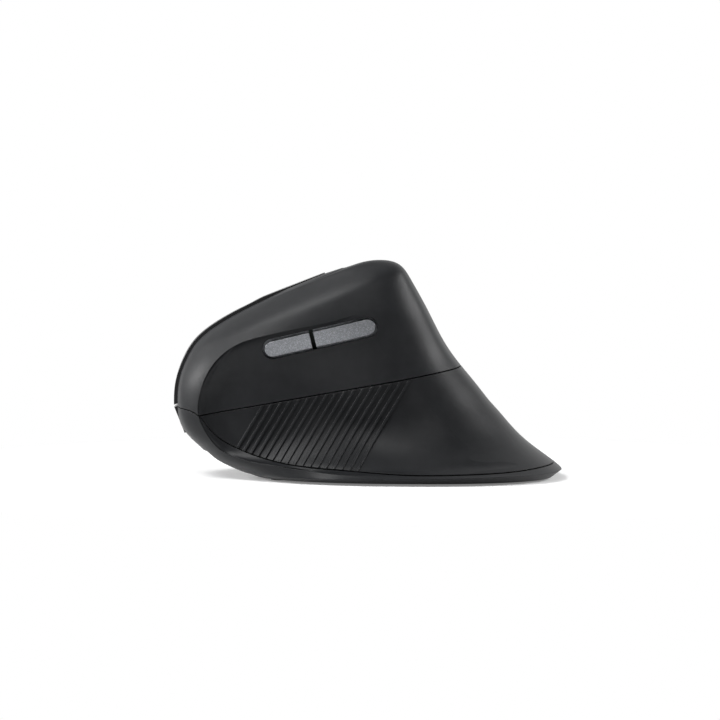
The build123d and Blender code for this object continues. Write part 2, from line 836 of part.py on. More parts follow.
def snap_tabs():
    """Tabs that stand up from the base inside the side shell."""
    inside, outside, root = core(carrier_low), core(carrier_top), core(shell_wall / 2)
    tabs = Part()
    for x_share, sign in tab_shares:
        x = x_share * length
        top = line_z(seam_shares, x) + tab_rise
        reach = (0, width) if sign > 0 else (-width, 0)
        column = block(desk, centred(x, tab_width), reach, (floor_top, top)) - inside
        tabs += column & outside
        tabs += column & root & seam_region(seam_gap / 2)
    return tabs


def line_z(shares, x):
    """Height of a side line over a place along the mouse."""
    for (x0, z0), (x1, z1) in zip(shares, shares[1:]):
        if min(x0, x1) * length <= x <= max(x0, x1) * length:
            return mix(z0, z1, (x - x0 * length) / ((x1 - x0) * length)) * height
    return shares[-1][1] * height


def button_carrier():
    """The frame under the main buttons, with the lugs and posts of what it holds."""
    region = button_region(button_floor_shares, window_gap + carrier_overlap, tail_gap + carrier_overlap,
                           ridge_nose_gap + carrier_overlap, ridge_tail_gap + carrier_overlap)
    top = core(carrier_top)
    deck = (top - core(carrier_low)) & region
    inside = core(carrier_top + carrier_wall / 2)
    for across, up, radius in board_posts:
        deck += rod(face, across, up, (board_face, overrun), radius) & inside
    pin_low = cradle_pin_out - lug_radius
    for side in (1, -1):
        near, far = sorted((side * lug_inner, side * (lug_inner + lug_thickness)))
        deck += block(face, centred(cradle_pin_across, 2 * lug_radius), (near, far),
                      (pin_low, overrun)) & inside
        for up in (hinge_up, -hinge_up):
            out = hinge_out(up)
            ear = side * (hinge_barrel_length / 2 + running_gap)
            near, far = sorted((up + ear, up + ear + side * lug_thickness))
            deck += block(face, centred(-hinge_across, 2 * lug_radius), (near, far),
                          (out - lug_radius, overrun)) & inside
    deck -= block(face, (-cradle_tail - cradle_gap, cradle_nose + cradle_gap),
                  (-lug_inner, lug_inner), (board_face, overrun))
    for up in (hinge_up, -hinge_up):
        room = hinge_barrel_radius + hole_gap
        deck -= block(face, centred(-hinge_across, 2 * room),
                      centred(up, hinge_barrel_length + 2 * running_gap), (board_face, overrun))
        deck -= cross_rod(face, -hinge_across, hinge_out(up), hinge_pin_span(up), hinge_pin_radius)
    for up in (switch_up, -switch_up):
        deck -= rod(face, switch_across, up, (board_face, overrun), finger_post_radius + hole_gap)
        deck -= block(face, centred(switch_across, switch_length + 2 * carrier_gap),
                      centred(up, switch_width + 2 * carrier_gap),
                      (board_face, board_face + switch_height + carrier_gap))
    for across, up in tail_posts:
        deck -= rod(face, across, up, (board_face, overrun), post_radius + carrier_gap)
    deck -= bar_slot(face, -resolution_across, 0, (board_face, overrun),
                     resolution_long + 2 * (flange_width + carrier_gap),
                     resolution_wide + 2 * (flange_width + carrier_gap))
    deck -= cross_rod(face, cradle_pin_across, cradle_pin_out, cradle_pin_span(), cradle_pin_radius)
    for across, up, radius in board_posts:
        deck -= rod(face, across, up, (board_back, board_face + board_screw_length), screw_radius)
    return deck


def hinge_out(up):
    """Place of a click hinge's axis along the face's normal."""
    return face_depth(-hinge_across, up) - hinge_depth


def hinge_pin_span(up):
    """Ends of a click hinge's pin up the face."""
    half = hinge_barrel_length / 2 + running_gap + lug_thickness
    return up - half, up + half


def cradle_pin_span():
    """Ends of the cradle's pin up the face."""
    return -lug_inner - lug_thickness, lug_inner + lug_thickness


def rim_tapers():
    """All above the rim's top line and all ahead of its nose line."""
    (x0, z0), (x1, z1) = scaled(rim_top_shares)
    above = side_prism([(x0, z0), (x1, z1), (x1, 2 * height), (x0, 2 * height)])
    (x2, z2), (x3, z3) = scaled(rim_nose_shares)
    ahead = side_prism([(x2, z2), (x3, z3), (-length, z3), (-length, z2)])
    return above + ahead


def main_button(shell, region, up):
    """One main button: its plate, its hinge barrel and the post over its switch."""
    plate = shell & region
    plate -= bar_slot(face, 0, 0, (board_face, overrun), 2 * (wheel_chord + wheel_slot_end),
                      wheel_width + 2 * wheel_gap)
    side = 1 if up > 0 else -1
    out = hinge_out(up)
    barrel_span = centred(up, hinge_barrel_length)
    barrel = cross_rod(face, -hinge_across, out, barrel_span, hinge_barrel_radius)
    neck = block(face, centred(-hinge_across, hinge_neck), barrel_span, (out, overrun))
    post = rod(face, switch_across, side * switch_up, (plunger_top + touch_gap, overrun),
               finger_post_radius)
    inside = skin(plate_inner / 2)
    plate += (barrel + neck + post) & inside
    return plate - cross_rod(face, -hinge_across, out, barrel_span, hinge_pin_radius + pin_gap)


def wheel_ring(outer, inner, wide):
    """A ring about the wheel's axis."""
    return (cross_rod(face, 0, axle_out, centred(0, wide), outer)
            - cross_rod(face, 0, axle_out, centred(0, wide), inner))


def around_wheel(radius, count):
    """Places round the wheel's axis: across and out in the face frame."""
    turns = [2 * pi * step / count for step in range(count)]
    return [(radius * cos(turn), axle_out + radius * sin(turn), turn) for turn in turns]


def wheel_tyre():
    """The rubber tyre with its grooves."""
    ring = wheel_ring(wheel_radius, wheel_radius - tyre_depth, wheel_width)
    outer_edges = [edge for edge in ring.edges().filter_by(GeomType.CIRCLE)
                   if edge.radius > wheel_radius - tyre_depth / 2]
    ring = fillet(outer_edges, tyre_rounding)
    for across, out, turn in around_wheel(wheel_radius, tyre_groove_count):
        groove = Box(2 * tyre_groove_depth, wheel_width, tyre_groove_width)
        ring -= face * Pos(across, 0, out) * Rot(0, -degrees(turn), 0) * groove
    return ring


def wheel_hub():
    """The wheel's rim, web and spindle."""
    seat = wheel_radius - tyre_depth
    hub = wheel_ring(seat, seat - rim_thickness, wheel_width)
    hub += cross_rod(face, 0, axle_out, centred(0, web_thickness), seat - rim_thickness / 2)
    hub += cross_rod(face, 0, axle_out, centred(0, wheel_width), hub_radius)
    middle = (seat - rim_thickness + hub_radius) / 2
    for across, out, _ in around_wheel(middle, web_hole_count):
        hub -= cross_rod(face, across, out, centred(0, wheel_width), web_hole_radius)
    return hub + cross_rod(face, 0, axle_out, (-arm_outer - encoder_width, arm_outer), spindle_radius)


def wheel_cradle():
    """The frame that the wheel turns in, with the pad that presses its switch."""
    out = (cradle_low, cradle_top)
    frame = block(face, (-cradle_tail, cradle_nose), (-arm_outer, arm_outer), out)
    frame -= block(face, (-cradle_inner, cradle_inner), (-arm_inner, arm_inner), out)
    frame += rod(face, wheel_tact_across, 0, (stem_top + touch_gap, cradle_top - cradle_cap), stem_radius)
    frame -= cross_rod(face, 0, axle_out, (-arm_outer, arm_outer), spindle_radius + pin_gap)
    return frame - cross_rod(face, cradle_pin_across, cradle_pin_out, (-arm_outer, arm_outer),
                             cradle_pin_radius + pin_gap)


def wheel_encoder():
    """The encoder on the cradle's arm, round the end of the spindle."""
    body = block(face, centred(0, encoder_length), (-arm_outer - encoder_width, -arm_outer),
                 (axle_out - encoder_drop, axle_out + encoder_rise))
    return body - cross_rod(face, 0, axle_out, (-arm_outer - encoder_width, -arm_outer),
                            spindle_radius + pin_gap)


def button_board():
    """The board under the finger face, cut out for the wheel."""
    board = block(face, (-board_tail, board_nose), (-board_low, board_high), (board_back, board_face))
    board &= core(shell_wall + board_edge_gap)
    board -= block(face, centred(0, 2 * (board_chord + wheel_gap)), centred(0, wheel_width + 2 * wheel_gap),
                   (board_back, board_face))
    holes = [(across, up) for across, up, _ in board_posts if across < board_nose] + list(tail_posts)
    for across, up in holes:
        board -= rod(face, across, up, (board_back, board_face), screw_radius)
    return board


def resolution_button():
    """The small button behind the wheel: its cap, its flange and its post."""
    flange_top = shell_wall + running_gap
    cap = skin(-resolution_proud) - skin(flange_top + flange_thickness)
    cap &= bar_slot(face, -resolution_across, 0, (board_face, overrun), resolution_long, resolution_wide)
    flange = skin(flange_top) - skin(flange_top + flange_thickness)
    flange &= bar_slot(face, -resolution_across, 0, (board_face, overrun),
                       resolution_long + 2 * flange_width, resolution_wide + 2 * flange_width)
    post = rod(face, -resolution_across, 0, (stem_top + touch_gap, overrun), stem_radius)
    return cap + flange + (post & skin(flange_top))


def thumb_button(slab, flange, behind, front):
    """One thumb button: its cap in the slot, its flange behind the wall and its post."""
    end = slot_length / 2 - button_gap
    near = thumb_split_across + (-thumb_split / 2 if front else thumb_split / 2)
    across = (-slot_length, near) if front else (near, slot_length)
    half = block(slot, across, (-slot_width, slot_width), (thumb_face, overrun))
    cap = slab & bar_slot(slot, 0, 0, (thumb_face, overrun), 2 * end, slot_width - 2 * button_gap) & half
    skirt_wide = slot_width + 2 * flange_width
    back = flange & bar_slot(slot, 0, 0, (thumb_face, overrun), slot_length + 2 * flange_width, skirt_wide)
    post = rod(slot, thumb_switch_across(front), 0, (thumb_stem_top + touch_gap, overrun), stem_radius)
    return cap + (back & half & behind) + (post & behind)


def thumb_switch_across(front):
    """Place of a thumb button's switch along the slot."""
    end = slot_length / 2 - button_gap
    near = -end if front else end
    return (near + thumb_split_across) / 2


def flange_side():
    """The inside of the body behind the thumb buttons' flanges."""
    return core(shell_wall + running_gap)


def light_pipe():
    """The clear rod that carries the light out through the upper shell."""
    pipe = rod(face, -light_across, 0, (board_face + led_height + running_gap, overrun), light_radius)
    return pipe & skin(0)


def light_source():
    """The lamp on the button board under the light pipe."""
    return block(face, centred(-light_across, led_size), centred(0, led_size),
                 (board_face, board_face + led_height))


def thumb_board():
    """The board behind the thumb buttons."""
    reach = thumb_post_across + thumb_post_radius
    plate = block(slot, (-reach, reach), centred(0, thumb_board_width),
                  (thumb_face - board_thickness, thumb_face))
    for across in thumb_board_posts:
        plate -= rod(slot, across, 0, (thumb_face - board_thickness, thumb_face), screw_radius)
    return plate


def main_board():
    """The board over the base's floor."""
    plate = block(desk, main_board_x, (-main_board_half, main_board_half), (main_board_z, main_board_top))
    for x, y in main_posts:
        plate -= rod(desk, x, y, (main_board_z, main_board_top), screw_radius)
    return plate


def chip(shares, size, tall):
    """A square chip on top of the main board."""
    x, y = place(shares)
    return block(desk, centred(x, size), centred(y, size), (main_board_top, main_board_top + tall))


def plug(shares):
    """A lead's plug on top of the main board."""
    x, y = place(shares)
    return block(desk, centred(x, plug_length), centred(y, plug_width),
                 (main_board_top, main_board_top + plug_height))


def lead(start, start_way, end, end_way):
    """A round lead that leaves one piece and meets another squarely, in one easy bend."""
    points = [start, start + start_way, end - end_way, end]
    return sweep(Plane(origin=start, z_dir=start_way) * Circle(lead_radius), path=Bezier(points))


def button_board_lead():
    """From its plug on the main board to the back of the button board."""
    start = Vector(*place(lead_plug_place_share), main_board_top + plug_height)
    end = face.from_local_coords(Vector(-encoder_length / 2, -switch_up, board_back))
    return lead(start, Vector(0, 0, plug_length), end, face.z_dir * plug_length)


def thumb_board_lead():
    """From its plug on the main board to the back of the thumb board."""
    start = Vector(*place(thumb_plug_place_share), main_board_top + plug_height)
    end = slot.from_local_coords(Vector(0, 0, thumb_face - board_thickness))
    return lead(start, Vector(0, 0, (end.Z - start.Z) / 2), end, slot.z_dir * thumb_board_depth)


def battery_lead():
    """From the battery's front face to its plug."""
    x, y = place(battery_plug_place_share)
    z = floor_top + battery_high - lead_radius
    start = battery_place_share[0] * length - battery_long / 2
    return rod(wrist_way, y, z, (x + plug_length / 2, start), lead_radius)


def battery():
    """The battery, a soft-cornered block lying on the base's floor."""
    x, y = place(battery_place_share)
    cell = block(desk, centred(x, battery_long), centred(y, battery_wide),
                 (floor_top, floor_top + battery_high))
    return fillet(cell.edges().filter_by(Axis.X), battery_rounding)


def charging_port():
    """The metal shell of the charging socket."""
    outer = bar_slot(wrist_way, 0, port_z, (port_face, port_face + port_length), port_width, port_height)
    inner = bar_slot(wrist_way, 0, port_z, (port_face, port_face + port_length - port_wall),
                     port_width - 2 * port_wall, port_height - 2 * port_wall)
    return outer - inner


def port_tongue():
    """The contact tongue inside the charging socket."""
    return block(desk, (port_face + tongue_setback, port_face + port_length - port_wall),
                 centred(0, tongue_width), centred(port_z, tongue_thickness))


def motion_sensor():
    """The optical sensor under the main board."""
    x, y = place(sensor_place_share)
    return block(desk, centred(x, sensor_long), centred(y, sensor_wide),
                 (main_board_z - sensor_height, main_board_z))


def sensor_lens():
    """The clear lens over the eye in the underside."""
    x, y = place(sensor_place_share)
    plate = block(desk, centred(x, sensor_long), centred(y, sensor_wide), (floor_top, floor_top + lens_plate))
    return plate + rod(desk, x, y, (floor_top - lens_nose, floor_top), lens_nose_radius)


def slide_switch():
    """The power switch's body under the main board, with the groove that its lever runs in."""
    x, y = place(power_place_share)
    low = main_board_z - slide_switch_height
    body = block(desk, centred(x + slider_travel / 2, slide_switch_long), centred(y, slide_switch_wide),
                 (low, main_board_z))
    groove = block(desk, (x - lever_long / 2 - running_gap, x + lever_long / 2 + slider_travel + running_gap),
                   centred(y, lever_wide + 2 * running_gap), (low, low + lever_reach + running_gap))
    return body - groove


def power_slider():
    """The power slider: its knob in the underside, its flange above the floor and its lever."""
    x, y = place(power_place_share)
    low = main_board_z - slide_switch_height
    flange = (floor_top + running_gap, low - running_gap)
    knob = block(desk, centred(x, slider_long), centred(y, slider_wide),
                 (foot_height + slider_sunk, flange[1]))
    wide = block(desk, centred(x, slider_long + 2 * flange_width), centred(y, slider_wide + 2 * flange_width),
                 flange)
    for place_x in (x - slider_groove_step, x, x + slider_groove_step):
        knob -= block(desk, centred(place_x, slider_groove), centred(y, slider_wide),
                      (foot_height, foot_height + slider_groove))
    lever = block(desk, centred(x, lever_long), centred(y, lever_wide), (floor_top, low + lever_reach))
    return knob + wide + lever


def pair_button():
    """The pairing button in the underside, with its flange above the floor."""
    x, y = place(pair_place_share)
    top = main_board_z - low_tact_height - stem_proud - touch_gap
    cap = rod(desk, x, y, (foot_height + pair_sunk, top), pair_radius)
    return cap + rod(desk, x, y, (floor_top + running_gap, top), pair_radius + flange_width)


def glides():
    """The two glide feet in their recesses."""
    feet = []
    for x_share, long in ((front_glide_x_share, front_glide_long), (rear_glide_x_share, rear_glide_long)):
        turned = Plane(origin=(x_share * length, 0, 0), x_dir=(0, 1, 0), z_dir=(0, 0, 1))
        feet.append(bar_slot(turned, 0, 0, (0, glide_thickness), long, glide_width))
    return feet


def group(shapes):
    """Separate solids kept in one node."""
    return Compound(children=[solid for shape in shapes for solid in shape.solids()])


def board_screws():
    """The screws of the three boards."""
    screws = [screw(face, across, up, board_back, board_screw_length)
              for across, up in [post[:2] for post in board_posts] + list(tail_posts)]
    screws += [screw(slot, across, 0, thumb_face - board_thickness, board_screw_length)
               for across in thumb_board_posts]
    top = Plane(origin=(0, 0, main_board_top), x_dir=(1, 0, 0), z_dir=(0, 0, -1))
    screws += [screw(top, x, -y, 0, board_screw_length) for x, y in main_posts]
    return screws


def case_screw_group():
    """The screws that hold the base to the side shell."""
    bearing = floor_top + counterbore_depth - floor_thickness
    return [screw(desk, x, y, bearing, case_screw_length) for x, y in case_screws]


def save(shape, name):
    """Write one node."""
    export_step(shape, f"parts/{name}.step")


def build():
    """Make every node of the mouse."""
    outer = skin(0, crowned=True) + skirt() - scoop(0, 0)
    middle = core(shell_wall / 2)
    cavity = core(shell_wall) & above_floor()
    upper, side, base = shells(outer, cavity, middle)
    save(upper, "upper_shell")
    save(side, "side_shell")
    save(base, "base_shell")

    save(button_carrier(), "button_carrier")
    plates = (skin(-button_proud, crowned=True) - rim_tapers()) - skin(plate_inner)
    left = button_region(split_shares, -split_gap / 2, 0, 0, 0)
    below_split = button_region(split_shares, split_gap / 2, 2 * tail_gap, 2 * width, 2 * width)
    right = button_region(button_floor_shares, 0, 0, 0, 0) - below_split
    save(main_button(plates, left, hinge_up), "left_button")
    save(main_button(plates, right, -hinge_up), "right_button")
    for name, up in (("left", hinge_up), ("right", -hinge_up)):
        save(cross_rod(face, -hinge_across, hinge_out(up), hinge_pin_span(up), hinge_pin_radius),
             f"{name}_hinge_pin")
    for name, up in (("left", switch_up), ("right", -switch_up)):
        save(switch_body(face, switch_across, up, board_face), f"{name}_click_switch")
        save(switch_plunger(face, switch_across, up, board_face), f"{name}_switch_plunger")

    save(wheel_tyre(), "wheel_tyre")
    save(wheel_hub(), "wheel_hub")
    save(wheel_cradle(), "wheel_cradle")
    save(wheel_encoder(), "wheel_encoder")
    save(cross_rod(face, cradle_pin_across, cradle_pin_out, cradle_pin_span(), cradle_pin_radius),
         "cradle_pin")
    save(button_board(), "button_board")
    save(tact(face, wheel_tact_across, 0, board_face, tact_size, tact_height), "wheel_press_switch")
    save(tact_stem(face, wheel_tact_across, 0, board_face, tact_height), "wheel_press_stem")

    save(resolution_button(), "resolution_button")
    save(tact(face, -resolution_across, 0, board_face, tact_size, tact_height), "resolution_switch")
    save(tact_stem(face, -resolution_across, 0, board_face, tact_height), "resolution_stem")
    save(light_pipe(), "light_pipe")
    save(light_source(), "indicator_lamp")

    behind = flange_side()
    slab = scoop_block(shell_wall + running_gap + flange_thickness) - scoop_block(-thumb_proud)
    flange = (scoop_block(shell_wall + running_gap + flange_thickness)
              - scoop_block(shell_wall + running_gap))
    for name, front in (("front", True), ("rear", False)):
        across = thumb_switch_across(front)
        save(thumb_button(slab, flange, behind, front), f"{name}_thumb_button")
        save(tact(slot, across, 0, thumb_face, thumb_tact_size, tact_height), f"{name}_thumb_switch")
        save(tact_stem(slot, across, 0, thumb_face, tact_height), f"{name}_thumb_stem")
    save(thumb_board(), "thumb_board")

    save(main_board(), "main_board")
    save(chip(processor_place_share, processor_size, processor_height), "processor")
    save(chip(crystal_place_share, crystal_size, crystal_height), "clock_crystal")
    save(plug(lead_plug_place_share), "button_lead_plug")
    save(plug(thumb_plug_place_share), "thumb_lead_plug")
    save(plug(battery_plug_place_share), "battery_plug")
    save(button_board_lead(), "button_board_lead")
    save(thumb_board_lead(), "thumb_board_lead")
    save(battery_lead(), "battery_lead")
    save(battery(), "battery")
    save(charging_port(), "charging_port")
    save(port_tongue(), "port_tongue")
    save(motion_sensor(), "motion_sensor")
    save(sensor_lens(), "sensor_lens")
    save(slide_switch(), "power_switch")
    save(power_slider(), "power_slider")
    save(pair_button(), "pair_button")
    under = Plane(origin=(*place(pair_place_share), main_board_z), x_dir=(1, 0, 0), z_dir=(0, 0, -1))
    save(tact(under, 0, 0, 0, thumb_tact_size, low_tact_height), "pair_switch")
    save(tact_stem(under, 0, 0, 0, low_tact_height), "pair_stem")
    front_foot, rear_foot = glides()
    save(front_foot, "front_glide")
    save(rear_foot, "rear_glide")
    save(group(board_screws()), "board_screws")
    save(group(case_screw_group()), "case_screws")


os.makedirs("parts", exist_ok=True)
build()
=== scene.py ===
# Looks of the vertical mouse: finishes, light, floor and camera round the fixed frame

import json
import math

import bmesh
import bpy
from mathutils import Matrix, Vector

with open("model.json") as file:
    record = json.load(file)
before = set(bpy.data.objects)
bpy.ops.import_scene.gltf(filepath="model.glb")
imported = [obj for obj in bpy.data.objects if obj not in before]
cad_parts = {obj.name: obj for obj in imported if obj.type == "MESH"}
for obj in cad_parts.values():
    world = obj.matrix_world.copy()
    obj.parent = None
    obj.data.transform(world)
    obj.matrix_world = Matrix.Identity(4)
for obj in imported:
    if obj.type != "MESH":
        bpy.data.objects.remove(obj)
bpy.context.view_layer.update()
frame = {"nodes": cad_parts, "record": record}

mm = 0.001


# Small tools that every section uses

srgbCurve = {"knee": 0.04045, "slope": 12.92, "offset": 0.055, "power": 2.4}
fullChannel = 255


def linear(value):
    # one sRGB channel from 0 to 1 as a linear value
    if value <= srgbCurve["knee"]:
        return value / srgbCurve["slope"]
    return ((value + srgbCurve["offset"]) / (1 + srgbCurve["offset"])) ** srgbCurve["power"]


def colour(code):
    # a linear colour with alpha from an sRGB hex code
    channels = [int(code[start:start + 2], 16) / fullChannel for start in (0, 2, 4)]
    return (*[linear(channel) for channel in channels], 1.0)


def addNode(material, kind, values=None, links=None, **settings):
    # a shader node with its settings, its socket values and the sockets that feed it
    node = material.node_tree.nodes.new(kind)
    for name, value in settings.items():
        setattr(node, name, value)
    for socket, value in (values or {}).items():
        node.inputs[socket].default_value = value
    for socket, source in (links or {}).items():
        material.node_tree.links.new(source, node.inputs[socket])
    return node


def objectPoint(material):
    # the place of a shaded point on its object, in metres
    return addNode(material, "ShaderNodeTexCoord").outputs["Object"]


def noise(material, grain, detail=3.0, roughness=0.5):
    # a noise pattern whose grains measure so many millimetres
    return addNode(material, "ShaderNodeTexNoise",
                   {"Scale": 1 / (grain * mm), "Detail": detail, "Roughness": roughness},
                   {"Vector": objectPoint(material)}).outputs["Fac"]


def remap(material, source, band, first, last):
    # a value carried from a band to the span from first to last, held at both ends
    return addNode(material, "ShaderNodeMapRange",
                   {"From Min": band[0], "From Max": band[1], "To Min": first, "To Max": last},
                   {"Value": source}).outputs["Result"]


def blendColour(material, factor, first, second):
    # two hex colours mixed by a factor
    node = addNode(material, "ShaderNodeMix", {"A": colour(first), "B": colour(second)},
                   data_type="RGBA")
    material.node_tree.links.new(factor, node.inputs["Factor"])
    return node.outputs["Result"]


def newMaterial(name):
    # an empty node material and its surface shader
    material = bpy.data.materials.new(name)
    material.use_nodes = True
    shader = material.node_tree.nodes["Principled BSDF"]
    return material, shader


def feed(material, shader, socket, source):
    # link a value or colour into the surface shader
    material.node_tree.links.new(source, shader.inputs[socket])


edgeRound = {"radius": 0.25, "samples": 4}    # millimetres that a shaded edge is rounded by


def bump(material, shader, height, depth):
    # raise the surface by a pattern, so many millimetres deep, and round its edges
    rounded = addNode(material, "ShaderNodeBevel", {"Radius": edgeRound["radius"] * mm},
                      samples=edgeRound["samples"])
    node = addNode(material, "ShaderNodeBump", {"Strength": 1.0, "Distance": depth * mm},
                   {"Height": height, "Normal": rounded.outputs["Normal"]})
    feed(material, shader, "Normal", node.outputs["Normal"])


# Moulded plastics

mouldSettings = {
    "mottleGrains": 24,           # how many pits lie across one blotch of the mottle
    "mottleDetail": 4.0,
    "mottleBand": (0.35, 0.75),   # where the mottle goes from the base colour to the worn one
    "pitDetail": 2.0,
    "pitHarshness": 0.6,
    "pitBand": (0.3, 0.7),
    "roughSpread": 0.05,          # how far the pits shift the roughness
    "gloss": 0.2,
}

# colours, then the roughness, the pits' grain in millimetres and their depth in millimetres
plastics = {
    "body_plastic": {"name": "soft touch black plastic", "base": "1b1c1e", "worn": "1f2022",
                     "roughness": 0.42, "grain": 0.14, "depth": 0.012},
    "side_plastic": {"name": "textured black plastic", "base": "161719", "worn": "1a1b1d",
                     "roughness": 0.42, "grain": 0.14, "depth": 0.012},
    "base_plastic": {"name": "satin black plastic", "base": "17181a", "worn": "1b1c1e",
                     "roughness": 0.42, "grain": 0.16, "depth": 0.01},
    "inner_plastic": {"name": "natural black plastic", "base": "1f2022", "worn": "262729",
                      "roughness": 0.6, "grain": 0.3, "depth": 0.02},
    "wheel_plastic": {"name": "satin grey plastic", "base": "6a6c70", "worn": "707276",
                      "roughness": 0.35, "grain": 0.3, "depth": 0.01},
    "switch_case": {"name": "black switch plastic", "base": "1b1c1e", "worn": "232426",
                    "roughness": 0.45, "grain": 0.3, "depth": 0.01},
    "white_plastic": {"name": "natural white plastic", "base": "dedbd2", "worn": "d4d0c6",
                      "roughness": 0.45, "grain": 0.3, "depth": 0.01},
    "port_insert": {"name": "black contact plastic", "base": "17181a", "worn": "1d1e20",
                    "roughness": 0.5, "grain": 0.3, "depth": 0.01},
    "lamp_resin": {"name": "lamp resin", "base": "e6dfae", "worn": "ddd48f",
                   "roughness": 0.3, "grain": 0.4, "depth": 0.005},
    "lead_red": {"name": "red lead sheath", "base": "8e1a16", "worn": "7d1511",
                 "roughness": 0.42, "grain": 0.5, "depth": 0.01},
    "lead_grey": {"name": "grey lead sheath", "base": "3c3d40", "worn": "46474a",
                  "roughness": 0.42, "grain": 0.5, "depth": 0.01},
    "glide_plastic": {"name": "smooth glide film", "base": "1b1b1d", "worn": "222224",
                      "roughness": 0.3, "grain": 0.6, "depth": 0.005},
}


def mouldedPlastic(values):
    # spark-textured moulded plastic: fine pits, a faint mottle and slight wear
    settings = mouldSettings
    material, shader = newMaterial(values["name"])
    mottle = noise(material, values["grain"] * settings["mottleGrains"], settings["mottleDetail"])
    worn = remap(material, mottle, settings["mottleBand"], 0, 1)
    feed(material, shader, "Base Color",
         blendColour(material, worn, values["base"], values["worn"]))
    pits = noise(material, values["grain"], settings["pitDetail"], settings["pitHarshness"])
    spread = settings["roughSpread"]
    feed(material, shader, "Roughness",
         remap(material, pits, settings["pitBand"], values["roughness"] - spread,
               values["roughness"] + spread))
    shader.inputs["Specular IOR Level"].default_value = settings["gloss"]
    bump(material, shader, pits, values["depth"])
    return material


# Metals

metalSettings = {
    "grain": 0.4,              # millimetres between scratches
    "detail": 5.0,
    "band": (0.3, 0.7),
    "scratched": "9a9b9d",
    "smoother": 0.06,
    "rougher": 0.1,
}

metals = {
    "switch_metal": {"name": "tinned metal", "base": "b4b5b6", "roughness": 0.32},
    "steel": {"name": "zinc plated steel", "base": "c0c1c2", "roughness": 0.28},
    "port_steel": {"name": "drawn steel", "base": "c8c9ca", "roughness": 0.22},
    "cell_wrap": {"name": "grey cell film", "base": "8f9398", "roughness": 0.35},
}


def scratchedMetal(values):
    # plain metal with fine scratches
    settings = metalSettings
    material, shader = newMaterial(values["name"])
    scratches = noise(material, settings["grain"], settings["detail"])
    feed(material, shader, "Base Color",
         blendColour(material, remap(material, scratches, settings["band"], 0, 1), values["base"],
                     settings["scratched"]))
    shader.inputs["Metallic"].default_value = 1.0
    feed(material, shader, "Roughness",
         remap(material, scratches, settings["band"], values["roughness"] - settings["smoother"],
               values["roughness"] + settings["rougher"]))
    return material


# Click plates

glossSettings = {
    "name": "gloss black plastic",
    "base": "0d0d0f",
    "waveGrain": 14.0,         # millimetres between the soft waves of the moulding
    "waveDetail": 1.0,
    "waveDepth": 0.02,
    "hazeGrain": 2.5,
    "hazeDetail": 4.0,
    "hazeBand": (0.3, 0.8),
    "roughness": 0.2,
    "hazyRoughness": 0.3,
    "gloss": 0.3,
}


def glossPlastic(settings):
    # polished plastic with the soft waviness of a moulded gloss panel
    material, shader = newMaterial(settings["name"])
    waves = noise(material, settings["waveGrain"], settings["waveDetail"])
    haze = noise(material, settings["hazeGrain"], settings["hazeDetail"])
    shader.inputs["Base Color"].default_value = colour(settings["base"])
    feed(material, shader, "Roughness",
         remap(material, haze, settings["hazeBand"], settings["roughness"], settings["hazyRoughness"]))
    shader.inputs["Specular IOR Level"].default_value = settings["gloss"]
    bump(material, shader, waves, settings["waveDepth"])
    return material


# Thumb buttons

paintSettings = {
    "name": "metallic grey paint",
    "base": "76787c",
    "fleck": "96989c",
    "fleckSize": 0.22,         # millimetres
    "fleckDepth": 0.006,
    "fleckFrom": 0.45,         # the share of the flecks that keeps the base colour
    "metallic": 0.55,
    "roughness": 0.46,
    "fleckRoughness": 0.32,
}


def metallicPaint(settings):
    # metallic paint: small bright flecks in a darker grey
    material, shader = newMaterial(settings["name"])
    cells = addNode(material, "ShaderNodeTexVoronoi", {"Scale": 1 / (settings["fleckSize"] * mm)},
                    {"Vector": objectPoint(material)}).outputs["Color"]
    pick = addNode(material, "ShaderNodeSeparateColor", links={"Color": cells}).outputs["Red"]
    bright = remap(material, pick, (settings["fleckFrom"], 1), 0, 1)
    feed(material, shader, "Base Color",
         blendColour(material, bright, settings["base"], settings["fleck"]))
    shader.inputs["Metallic"].default_value = settings["metallic"]
    feed(material, shader, "Roughness",
         remap(material, pick, (0, 1), settings["roughness"], settings["fleckRoughness"]))
    bump(material, shader, pick, settings["fleckDepth"])
    return material


# Wheel tyre

rubberSettings = {
    "name": "wheel rubber",
    "base": "1c1c1d",
    "bloom": "29292a",
    "bloomGrain": 1.1,
    "bloomDetail": 4.0,
    "bloomBand": (0.4, 0.8),
    "roughness": 0.72,
    "grain": 0.12,
    "depth": 0.02,
}


def wheelRubber(settings):
    # dark rubber with a dusty bloom in soft blotches
    material, shader = newMaterial(settings["name"])
    bloom = noise(material, settings["bloomGrain"], settings["bloomDetail"])
    feed(material, shader, "Base Color",
         blendColour(material, remap(material, bloom, settings["bloomBand"], 0, 1), settings["base"],
                     settings["bloom"]))
    shader.inputs["Roughness"].default_value = settings["roughness"]
    bump(material, shader, noise(material, settings["grain"]), settings["depth"])
    return material


# Circuit boards

boardSettings = {
    "name": "green board laminate",
    "mask": "0b3d24",
    "copper": "14522f",
    "runSpacing": 9.0,         # millimetres
    "runBend": 6.0,
    "runBand": (0.55, 0.6),
    "roughness": 0.32,
}


def boardLaminate(settings):
    # a circuit board: green mask over copper runs
    material, shader = newMaterial(settings["name"])
    runs = addNode(material, "ShaderNodeTexWave",
                   {"Scale": 1 / (settings["runSpacing"] * mm), "Distortion": settings["runBend"]},
                   {"Vector": objectPoint(material)}).outputs["Fac"]
    feed(material, shader, "Base Color",
         blendColour(material, remap(material, runs, settings["runBand"], 0, 1), settings["mask"],
                     settings["copper"]))
    shader.inputs["Roughness"].default_value = settings["roughness"]
    return material


# Lens and light pipe

